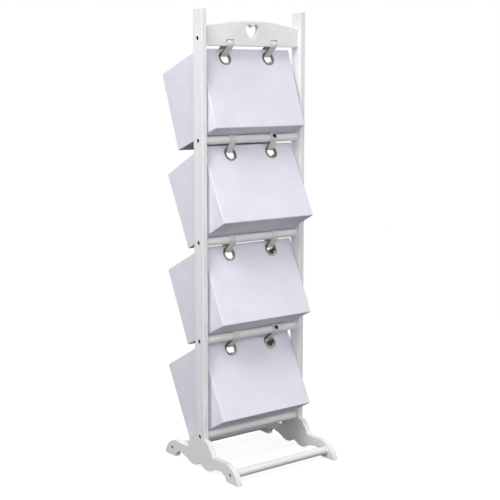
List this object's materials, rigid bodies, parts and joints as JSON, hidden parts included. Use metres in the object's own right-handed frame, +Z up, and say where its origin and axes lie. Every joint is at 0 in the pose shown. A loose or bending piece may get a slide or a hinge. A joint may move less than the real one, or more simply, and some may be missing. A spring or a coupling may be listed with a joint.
{
  "type": "newspaper rack",
  "caption": "White wooden ladder rack on scrolled feet, with tilted fabric baskets hung by straps through metal eyelets from round crossbars and an arched head rail with a heart cut-out.",
  "frame": {"origin": "on the floor, under the middle of the whole rack's width and depth; the ladder frame itself stands 15.1 mm behind it, at y = -0.0151, because the baskets reach out towards +Y", "axes": "+Z up, +Y the side towards which the baskets open, -Y the side with the eyelets and straps, +X to the right when seen from -Y"},
  "size_m": [0.35, 0.3802, 1.246],
  "materials": {
    "white_painted_wood": "smooth white paint on fir, faint grain",
    "basket_cloth": "plain fine weave, white with a slight lilac tint, stretched over boards",
    "lining_cloth": "plain fine weave",
    "stiffener_board": "grey-brown fibreboard, hidden between cover and lining",
    "strap_leather": "pale grey imitation leather, darker reverse",
    "eyelet_metal": "nickel, slightly worn",
    "stud_metal": "dark satin",
    "dark_screw": "dark zinc"
  },
  "bodies": {
    "frame": {"left_post": "white_painted_wood", "right_post": "white_painted_wood", "left_foot": "white_painted_wood", "right_foot": "white_painted_wood", "head_rail": "white_painted_wood", "crossbar_1": "white_painted_wood", "crossbar_2": "white_painted_wood", "crossbar_3": "white_painted_wood", "crossbar_4": "white_painted_wood", "front_foot_bar": "white_painted_wood", "rear_foot_bar": "white_painted_wood", "left_post_screws": "dark_screw", "right_post_screws": "dark_screw", "foot_bar_screws": "dark_screw", "foot_bolts": "dark_screw"},
    "basket_1": {"basket_1_cover": "basket_cloth", "basket_1_lining": "lining_cloth", "basket_1_eyelet_board": "stiffener_board", "basket_1_front_board": "stiffener_board", "basket_1_end_boards": "stiffener_board", "basket_1_base_board": "stiffener_board", "basket_1_left_strap": "strap_leather", "basket_1_right_strap": "strap_leather", "basket_1_eyelets": "eyelet_metal", "basket_1_press_studs": "stud_metal"},
    "basket_2": {"basket_2_cover": "basket_cloth", "basket_2_lining": "lining_cloth", "basket_2_eyelet_board": "stiffener_board", "basket_2_front_board": "stiffener_board", "basket_2_end_boards": "stiffener_board", "basket_2_base_board": "stiffener_board", "basket_2_left_strap": "strap_leather", "basket_2_right_strap": "strap_leather", "basket_2_eyelets": "eyelet_metal", "basket_2_press_studs": "stud_metal"},
    "basket_3": {"basket_3_cover": "basket_cloth", "basket_3_lining": "lining_cloth", "basket_3_eyelet_board": "stiffener_board", "basket_3_front_board": "stiffener_board", "basket_3_end_boards": "stiffener_board", "basket_3_base_board": "stiffener_board", "basket_3_left_strap": "strap_leather", "basket_3_right_strap": "strap_leather", "basket_3_eyelets": "eyelet_metal", "basket_3_press_studs": "stud_metal"},
    "basket_4": {"basket_4_cover": "basket_cloth", "basket_4_lining": "lining_cloth", "basket_4_eyelet_board": "stiffener_board", "basket_4_front_board": "stiffener_board", "basket_4_end_boards": "stiffener_board", "basket_4_base_board": "stiffener_board", "basket_4_left_strap": "strap_leather", "basket_4_right_strap": "strap_leather", "basket_4_eyelets": "eyelet_metal", "basket_4_press_studs": "stud_metal"}
  },
  "joints": [
    {"name": "basket_1_tilt", "type": "hinge", "parent": "frame", "child": "basket_1", "pos_m": [0, -0.01512, 1.1555], "axis": [1, 0, 0], "range_deg": [0, 35]},
    {"name": "basket_2_tilt", "type": "hinge", "parent": "frame", "child": "basket_2", "pos_m": [0, -0.01512, 0.901], "axis": [1, 0, 0], "range_deg": [0, 14]},
    {"name": "basket_3_tilt", "type": "hinge", "parent": "frame", "child": "basket_3", "pos_m": [0, -0.01512, 0.628], "axis": [1, 0, 0], "range_deg": [0, 11]},
    {"name": "basket_4_tilt", "type": "hinge", "parent": "frame", "child": "basket_4", "pos_m": [0, -0.01512, 0.358], "axis": [1, 0, 0], "range_deg": [0, 7.5]}
  ]
}
